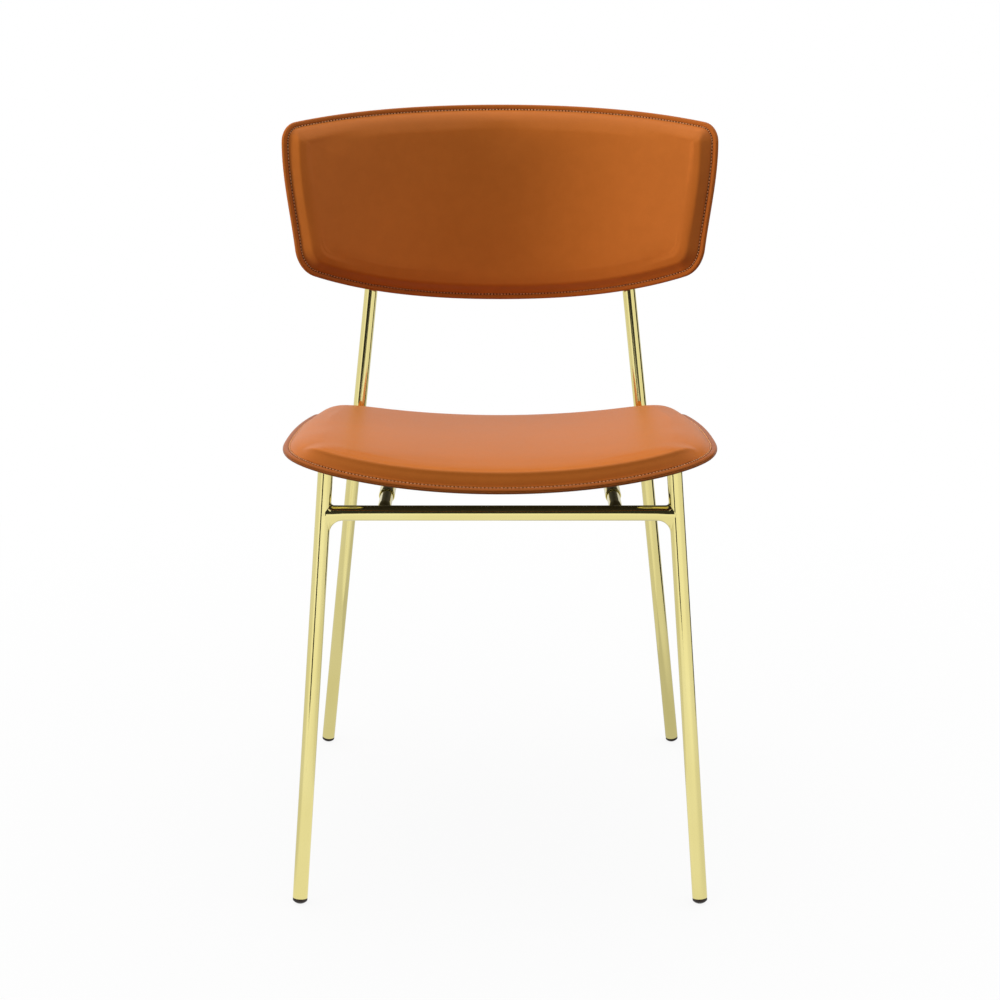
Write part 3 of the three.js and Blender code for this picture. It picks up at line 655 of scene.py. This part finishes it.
def hide(start):
    """What every tan leather here has: its place, a mottle, a closed grain of about a millimetre, and a shade that
    drifts slowly and is paler on the raised parts."""
    place = start.node("ShaderNodeTexCoord", output="Object")
    drift, mottle = place.noise(6, 3, Roughness=0.55), place.noise(70, 4, Roughness=0.6)
    cells = {"Vector": place, "Scale": 900, "Smoothness": 0.6}
    grain = start.node("ShaderNodeTexVoronoi", {"feature": "SMOOTH_F1"}, cells)
    shade = 0.4 * drift.between(0.3, 0.7) + 0.35 * mottle.between(0.3, 0.7) + 0.25 * (1 - grain)
    return place, mottle, grain, shade


hide_relief = {"strength": 0.3, "distance": 0.0002, "Specular IOR Level": 0.095}


def tan_leather(start):
    """Aniline-dyed leather, smoother on the raised parts of its grain."""
    place, mottle, grain, shade = hide(start)
    colour = shade.tint(tone(186, 104, 39), tone(196, 110, 43))
    height = 0.55 * (1 - grain) + 0.25 * place.noise(2100, 2) + 0.5 * mottle
    return principled(colour, 0.3 + 0.08 * grain + 0.06 * mottle, height, **hide_relief)


leather = finished("tan_leather", tan_leather)
pressure, cloth_frames, cloth_columns, cloth_waves, most_move, shortfall = 4, 20, 6, 16, 0.0008, 0.0003


def filled(rings, poles):
    """How the foam fills the sewn leather, found with Cloth. Every sixth column of the rings is blown up a little, with
    the last row of the side and all below it pinned in the seam. Each point's move d is held to the most move times
    tanh of d over it, and the moves go back onto all the columns through their Fourier sum."""
    rows, columns = rings.shape[:2]
    coarse = rings[:, ::cloth_columns]
    trial = skin("trial", coarse, leather, poles)
    held = range((top_rows + side_rows - 1) * coarse.shape[1], rows * coarse.shape[1])
    trial.vertex_groups.new(name="sewn").add([*held, len(trial.data.vertices) - 1], 1, "REPLACE")
    cloth = trial.modifiers.new("cloth", "CLOTH").settings
    cloth.vertex_group_mass = "sewn"
    cloth.use_pressure, cloth.uniform_pressure_force = True, pressure
    cloth.effector_weights.gravity = 0
    for step in range(1, cloth_frames + 1):
        bpy.context.scene.frame_set(step)
    shaped = trial.evaluated_get(bpy.context.evaluated_depsgraph_get()).data
    after = np.zeros(len(shaped.vertices) * 3)
    shaped.vertices.foreach_get("co", after)
    moved = after[: coarse.size].reshape(coarse.shape) - coarse
    far = np.linalg.norm(moved, axis=-1, keepdims=True) + 1e-9
    moved *= most_move * np.tanh(far / most_move) / far
    waves = np.fft.rfft(moved, axis=1)
    waves *= np.exp(-((np.arange(waves.shape[1]) / cloth_waves) ** 2))[None, :, None]
    bpy.data.objects.remove(trial)
    bpy.context.scene.frame_set(1)
    return np.fft.irfft(waves, n=columns, axis=1) * columns / coarse.shape[1]


def cushion(name, panel, thickness, roll, slopes, runs, ramped, node):
    """A pad over a panel: its section carried round the panel's edge, a little short of its full height, and filled."""
    short = shortfall
    section = cushion_section(thickness - short, roll, slopes, runs, ramped)
    rings, poles = panel.rings(*section), [panel.pole(thickness - short + crown), panel.pole(board_top)]
    if short:
        rings = rings + filled(rings, poles)
        poles[0] = rings[0].mean(axis=0)
    pad = skin(name, rings, leather, poles)
    fit(pad, "pad_leather", node)


def rising(values, low, high):
    """0 below low, 1 above high, and t squared times 3 - 2t between them."""
    t = np.clip((values - low) / (high - low), 0, 1)
    return t * t * (3 - 2 * t)


front_only = rising(-seat.outward[:, 1], 0.45, 0.85)
front_slopes, front_runs = (90, 82, 72, 84, 14, 5, 0), (0.0043, 0.0054, 0.0043, 0.0035, 0.008, 0.023)
cushion("seat_cushion", seat, seat_pad_thickness, seat_roll, front_slopes, front_runs, front_only, "seat_pad")


# Seat lip and underside: the pad's leather and the cover below are turned in, laid together and sewn through, which
# leaves a flat lip with a rounded edge. A dark lining closes the underside of the board.

stitch_inset, stitch_pitch, cover_thickness = 0.0062, 0.0039, 0.0012


def lip_section():
    """The section of the lip, round from its inner top edge: insets and heights. Each face swells a little between the
    channel of the stitches and the rounded edge, and a fine groove runs along the edge where the two leathers meet."""
    half = [
        (lip_inner, lip_top),
        (0.0085, lip_top),
        (0.0075, 0.0043),
        (0.0071, 0.0041),
        (0.0067, 0.0038),
        (0.0062, 0.0037),
        (0.0057, 0.0038),
        (0.0052, 0.0041),
        (0.0046, 0.0043),
        (0.0038, lip_top),
        (0.0028, lip_top),
        (0.0020, 0.0043),
        (0.0013, 0.0041),
        (0.0008, 0.0037),
        (0.0004, 0.0032),
        (0.00015, 0.0026),
        (0, 0.0020),
        (0.0001, 0.0017),
        (0.00035, 0.0016),
    ]
    inset, height = np.array(half).T
    return np.concatenate([inset, inset[::-1]]), np.concatenate([height, lip_top + lip_bottom - height[::-1]])


def lip(name, panel, node):
    """The lip round a panel. Its pattern is the run along the edge in stitches, and the inset in centimetres."""
    inset, height = lip_section()
    count = round(panel.around[-1] / stitch_pitch)
    run = panel.around / panel.around[-1] * count
    across = np.concatenate([inset, inset[:1]]) * 100
    pattern = np.stack(np.broadcast_arrays(run[None, :], across[:, None]), axis=-1)
    piece = skin(name, panel.rings(inset, np.ones(len(inset)), height), edge_leather, loop=True, pattern=pattern)
    fit(piece, "lip_leather", node)


def sewn_leather(start):
    """The same leather over the lip, coloured a shade darker than the pad's, and darkened further on the seat, below
    about half a metre up, with painted shade. Painted shade also darkens a needle hole at each end of each stitch,
    which is pressed in as a hollow and made rougher. A hole's width is in centimetres, as the pattern's inset is."""
    place, mottle, grain, shade = hide(start)
    pattern = start.node("ShaderNodeUVMap", {"uv_map": "pattern"})
    (run, inset), (up,) = pattern.parts("XY"), place.parts("Z")
    along = run.math("PINGPONG", run, 0.5) * (100 * stitch_pitch)
    off = inset - 100 * stitch_inset
    hole = 1 - run.math("SQRT", along * along + off * off).between(0.07, 0.13)
    # Painted shade: the mix below goes 0.8 of the way to the dark tone in each needle hole, and 0.22 of the way over
    # the lip on the seat, below 0.5 m up.
    dark = hole.math("MAXIMUM", 0.8 * hole, 0.22 * (1 - up.between(0.5, 0.55)))
    plain = shade.tint(tone(173, 93, 32), tone(183, 99, 36))
    colour = hole.node("ShaderNodeMix", {"data_type": "RGBA"}, {0: dark, 6: plain, 7: tone(62, 28, 8)}, output=2)
    height = 0.55 * (1 - grain) + 0.5 * mottle - 2.5 * hole
    return principled(colour, 0.3 + 0.08 * grain + 0.2 * hole, height, **hide_relief)


edge_leather = finished("sewn_leather", sewn_leather)
lip("seat_edge", seat, "seat_lip")


def cover(name, panel, finish, slot, node):
    """A thin sheet over the hidden face of a board, with a rounded edge that tucks against the lip."""
    share = np.linspace(inmost, 0.995, 24)
    low, high = lip_bottom, lip_bottom + cover_thickness
    shares = np.concatenate([share, [1, 1], share[::-1]])
    heights = np.array([*[low] * 24, low + 0.0002, high - 0.0002, *[high] * 24])
    rings = panel.rings(np.full(len(shares), board_inset), shares, heights)
    fit(skin(name, rings, finish, (panel.pole(low), panel.pole(high))), slot, node)


def dark_lining(start):
    """Dark brown lining leather: dull, with a coarse pressed grain and rubbed paler on its high points."""
    place = start.node("ShaderNodeTexCoord", output="Object")
    cells = {"Vector": place, "Scale": 520, "Smoothness": 0.5}
    grain = start.node("ShaderNodeTexVoronoi", {"feature": "SMOOTH_F1"}, cells)
    clouds = place.noise(24, 4)
    colour = (0.6 * clouds + 0.4 * (1 - grain)).tint(tone(30, 22, 16), tone(50, 38, 28))
    return principled(colour, 0.6 + 0.12 * clouds, 1 - grain, strength=0.4, distance=0.0003)


lining = finished("dark_lining", dark_lining)
cover("seat_underside", seat, lining, "under_lining", "seat_under_cover")


# Stitching: lockstitch in stout bonded thread, a little paler than the leather, the same on both faces of each lip.
# Each stitch lies in the channel, arched a little, and its ends dive into the needle holes.

thread_radius, stitch_length, stitch_arch = 0.0007, 0.0027, 0.0004
above_lip, below_lip = lip_top - 0.0003, lip_bottom + 0.0004


def bonded_thread(start):
    """Waxed thread, with the slanting lay of its strands."""
    place = start.node("ShaderNodeUVMap", {"uv_map": "pattern"})
    lay = {"Vector": place, "Scale": 3.0, "Distortion": 0.4}
    wave = start.node("ShaderNodeTexWave", {"bands_direction": "DIAGONAL"}, lay)
    (strands,) = wave.parts("X")
    colour = strands.tint(tone(212, 142, 86), tone(238, 178, 126))
    return principled(colour, 0.5, strands, strength=0.5, distance=0.0001)


thread = finished("bonded_thread", bonded_thread)


def stitches(name, panel, height, up):
    """One mesh of all the stitches on a face of a lip: thin capsules along the edge at the stitch inset. Along a
    stitch, t runs from -1 to 1, the thread's radius falls as the root of 1 - t^4, and it rises as 1 - t^2. up is 1 on
    the leathered face and -1 on the other."""
    count = round(panel.around[-1] / stitch_pitch)
    t = np.array([-0.99, -0.8, 0, 0.8, 0.99])
    angle = np.linspace(0, 2 * pi, 6, endpoint=False)
    spots = (np.arange(count) + 0.5)[:, None] / count + t * stitch_length / 2 / panel.around[-1]
    line = panel.ring([stitch_inset, stitch_inset - 0.001])
    where = panel.around[:-1] / panel.around[-1]
    a, b = (np.stack([np.interp(spots % 1, where, row, period=1) for row in part]) for part in line)
    rise = height + up * stitch_arch * (1 - t**2)
    centre = panel.board.at(a[0], b[0], rise)
    out = unit(panel.board.at(a[0], b[0], rise + up * 0.001) - centre)
    beside = unit(panel.board.at(a[1], b[1], rise) - centre)
    radius = thread_radius * np.sqrt(1 - t**4)
    spoke = beside[..., None, :] * np.cos(angle)[:, None] + out[..., None, :] * np.sin(angle)[:, None]
    points = centre[..., None, :] + spoke * radius[:, None, None]
    rows, columns = len(t), len(angle)
    corners = quad_corners(rows, columns)
    quads = corners[..., 0] * columns + corners[..., 1] % columns
    ends = [np.arange(columns)[::-1], (rows - 1) * columns + np.arange(columns)]
    if not facing_out(points[0].reshape(-1, 3), quads[:, :3]):
        quads, ends = quads[:, ::-1], [end[::-1] for end in ends]
    starts = np.arange(count) * rows * columns
    faces = (starts[:, None, None] + quads).reshape(-1, 4).tolist()
    for end in ends:
        faces += (starts[:, None] + end).tolist()
    piece = meshed(name, points.reshape(-1, 3), faces, thread)
    place = np.stack(np.broadcast_arrays(t[None, :, None] * 4, angle * np.ones((count, 1, 1))), axis=-1)
    uv = place.reshape(-1, 2)[np.concatenate(faces)]
    piece.data.uv_layers.new(name="pattern").data.foreach_set("uv", uv.ravel())
    fit(piece, "lip_leather")


stitches("seat_stitches_top", seat, above_lip, 1)
stitches("seat_stitches_bottom", seat, below_lip, -1)


# Backrest: the same build as the seat, bent tightly about the sitter and leaned back a little on the uprights. Its
# rear is closed by a plain leather cover.

back_width, back_pad_thickness, back_roll, back_radius = 0.545, 0.018, 0.0255, 0.42
back_corners = [
    (0, 0, 0),
    (0.845, 0.114, 15.5),
    (0.938, 0.248, 82),
    (1, 0.781, 90),
    (0.935, 0.884, 167),
    (0, 1, 180),
]
back_gap = 0.005
behind_back = back_gap - lip_bottom + rear_radius


def back_board_at(y):
    """The backrest's board with its lower edge at that y."""
    return Bend(back_radius, pi / 2 - back_lean, (0, y, back_low))


back_middle = up_the_back(1, 0.5)
back_y = back_middle[1]
for _ in range(closing_steps):
    back_y -= behind_back + back_board_at(back_y).coordinates(back_middle)[2]
back_board = back_board_at(back_y)
back = Panel(back_board, back_width, back_height, back_corners)

below_top = 1 - rising(back.outward[:, 1], 0.25, 0.85)
back_slopes, back_runs = (30, 46, 46, 11, 0), (0.0008, 0.0105, 0.005, 0.016)
cushion("back_cushion", back, back_pad_thickness, back_roll, back_slopes, back_runs, below_top, "back_pad")
lip("back_edge", back, "back_lip")
cover("back_rear_face", back, leather, "cover_leather", "back_rear_cover")
stitches("back_stitches_front", back, above_lip, 1)
stitches("back_stitches_rear", back, below_lip, -1)


# Boards: beech plywood, bent in a press and out of sight between the leathers. The CAD solids stay and get the
# finish of the wood.


def bent_plywood(start):
    """Rotary-cut beech: long pale grain across the board, with darker flecks."""
    place = start.node("ShaderNodeTexCoord", output="Object")
    stretched = start.node("ShaderNodeMapping", {}, {"Vector": place, "Scale": (6, 90, 90)})
    grain, flecks = stretched.noise(4, 5, Distortion=0.6), stretched.noise(30, 2)
    shade = 0.7 * grain.between(0.3, 0.7) + 0.3 * flecks.between(0.5, 0.8)
    colour = shade.tint(tone(214, 178, 130), tone(178, 134, 86))
    return principled(colour, 0.6 + 0.1 * flecks, grain, strength=0.2, distance=0.0003)


plywood = finished("bent_plywood", bent_plywood)


def dress(node, finish):
    """Gives a piece of the CAD frame its finish."""
    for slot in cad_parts[node].material_slots:
        slot.material = finish


dress("seat_shell", plywood)
dress("back_shell", plywood)


# Fixings: a welded tab on each front leg, button-head screws with a hexagon socket, bright steel spacers saddled to
# the tubes, and turned brass inserts pressed into the boards. The inserts are the CAD solids.


def bright_steel(start):
    """Zinc-plated steel with a faint haze and a fine roughness."""
    place = start.node("ShaderNodeTexCoord", output="Object")
    haze, fine = place.noise(260, 4, Roughness=0.7), place.noise(1500, 2)
    colour = haze.between(0.3, 0.7).tint(tone(150, 150, 148), tone(186, 186, 182))
    return principled(colour, 0.26 + 0.14 * haze, fine, strength=0.15, distance=0.0001, Metallic=1.0)


steel = finished("bright_steel", bright_steel)
screw_radius, head_radius, head_height, head_rim, head_curve = 0.003, 0.0055, 0.0032, 0.0011, 0.0031
socket_half, socket_deep, spacer_radius, clear, rear_share, fixing_sides = 0.002, 0.0019, 0.007, 0.0003, 0.76, 48
cover_under, insert_top, tab_radius, tab_reach, tab_low = lip_bottom - clear, 0.0078, 0.011, 0.026, -0.0048
tab_thickness, edge_rise, edge_inset = 0.003, np.array([0, 0, 0.0001, 0.0004]), np.array([0.004, 0.0004, 0.0001, 0])
spacer_short = 0.0008


def screw(name, origin, along, head_top, tip, node):
    """A screw turned about a line: from its tip down the shank to a domed head, whose socket is a hexagon. A socket's
    wall lies at its width across corners times cos 30 over the cosine of the turn from the nearest flat."""
    around = np.linspace(0, 2 * pi, fixing_sides, endpoint=False)
    hexagon = cos(pi / 6) / np.cos(around % (pi / 3) - pi / 6)
    profile = [(screw_radius - 0.0006, tip), (screw_radius, tip - 0.0006), (screw_radius, head_top)]
    profile += [(head_radius - 0.0002, head_top), (head_radius, head_top - 0.0002)]
    profile += [
        (head_radius - head_curve * (1 - cos(turn)), head_top - head_rim - (head_height - head_rim) * sin(turn))
        for turn in np.linspace(0, pi / 2, 8)
    ]
    radii, places = np.array(profile).T
    socket = np.array([socket_half + 0.00015, socket_half, socket_half])[:, None] * hexagon
    radii = np.concatenate([radii[:, None] * np.ones(fixing_sides), socket])
    places = np.concatenate([places, head_top - head_height + np.array([0, 0.00015, socket_deep])])
    centres = origin + along * places[:, None]
    rings = round_rings(centres, along, radii, sides=fixing_sides)
    fit(skin(name, rings, steel, (centres[0], centres[-1])), "fixing_steel", node)


def spacer(name, origin, along, tube, reach, top, node):
    """A turned post saddled to a tube: each point of its foot lies the root of the reach squared less the distance
    from the tube's line squared above that line."""
    radii = spacer_radius - np.array([0.0002, 0, 0, 0, 0.0003])
    rings = round_rings(np.tile(origin, (len(radii), 1)), along, radii, sides=fixing_sides)
    off = np.abs((rings - origin) @ unit(np.cross(along, tube)))
    foot = np.sqrt(np.maximum(reach**2 - off**2, 0))
    share = np.array([0, 0, 0.5, 1, 1])[:, None]
    height = foot * (1 - share) + top * share + np.array([0, 0.0003, 0, -0.0003, 0])[:, None]
    rings += along * height[..., None]
    poles = (origin + along * reach, origin + along * top)
    fit(skin(name, rings, steel, poles), "fixing_steel", node)


for name, side in sides:
    line = front_line(side)
    a, b, _ = seat_board.coordinates(line(height_where(seat_board, line, seat_height, under_tab)))
    out, origin = seat_board.out(a, b), seat_board.at(a, b, tab_low)
    # The x axis, turned by the least turn that takes straight up to the direction out.
    x = np.array([1 - out[0] ** 2 / (1 + out[2]), -out[0] * out[1] / (1 + out[2]), -out[0]])
    y = np.cross(out, x)
    turn = np.linspace(0, 2 * pi, tube_sides, endpoint=False) + 1e-6
    reach = np.where(np.cos(turn) * -side > 0, -side * tab_reach, 0)
    height = np.concatenate([edge_rise, tab_thickness - edge_rise[::-1]])
    radii = tab_radius - np.concatenate([edge_inset, edge_inset[::-1]])
    plate = (
        origin
        + x * (reach + radii[:, None] * np.cos(turn))[..., None]
        + y * (radii[:, None] * np.sin(turn))[..., None]
        + out * height[:, None, None]
    )
    centre = origin - side * x * tab_reach / 2
    tab = skin(f"tab_{name}", plate, brass, (centre, centre + out * tab_thickness))
    fit(tab, "frame_brass", f"seat_tab_{name}")
    hole = origin - side * x * tab_reach
    screw(f"screw_seat_front_{name}", hole, out, -clear, insert_top - tab_low, f"seat_front_screw_{name}")

    place = np.array([side * rail_x, feet_y + rear_share * seat_depth - seat_overhang, bar_height])
    a, b, below_board = seat_board.coordinates(place)
    up = np.array([0, 0, 1.0])
    to_cover, tip = (np.array([cover_under, insert_top]) - below_board) / (seat_board.out(a, b) @ up)
    post_top = to_cover - spacer_short
    screw(f"screw_seat_rear_{name}", place, up, -rail_radius - clear, tip, f"seat_rear_screw_{name}")
    spacer(f"spacer_seat_{name}", place, up, (0, 1, 0), rail_radius + clear, post_top, f"seat_spacer_{name}")

    for level, share in (("lower", 0.2), ("upper", 0.6)):
        place, tube = up_the_back(side, share), up_the_back(side, 1) - up_the_back(side, 0)
        a, b, behind = back_board.coordinates(place)
        out, top, tip = back_board.out(a, b), cover_under - behind, insert_top - behind
        screw(f"screw_back_{level}_{name}", place, out, -rear_radius - clear, tip, f"back_{level}_screw_{name}")
        spacer(f"spacer_back_{level}_{name}", place, out, tube, rear_radius + clear, top, f"back_{level}_spacer_{name}")
        dress(f"back_{level}_insert_{name}", brass)
    dress(f"seat_front_insert_{name}", brass)
    dress(f"seat_rear_insert_{name}", brass)
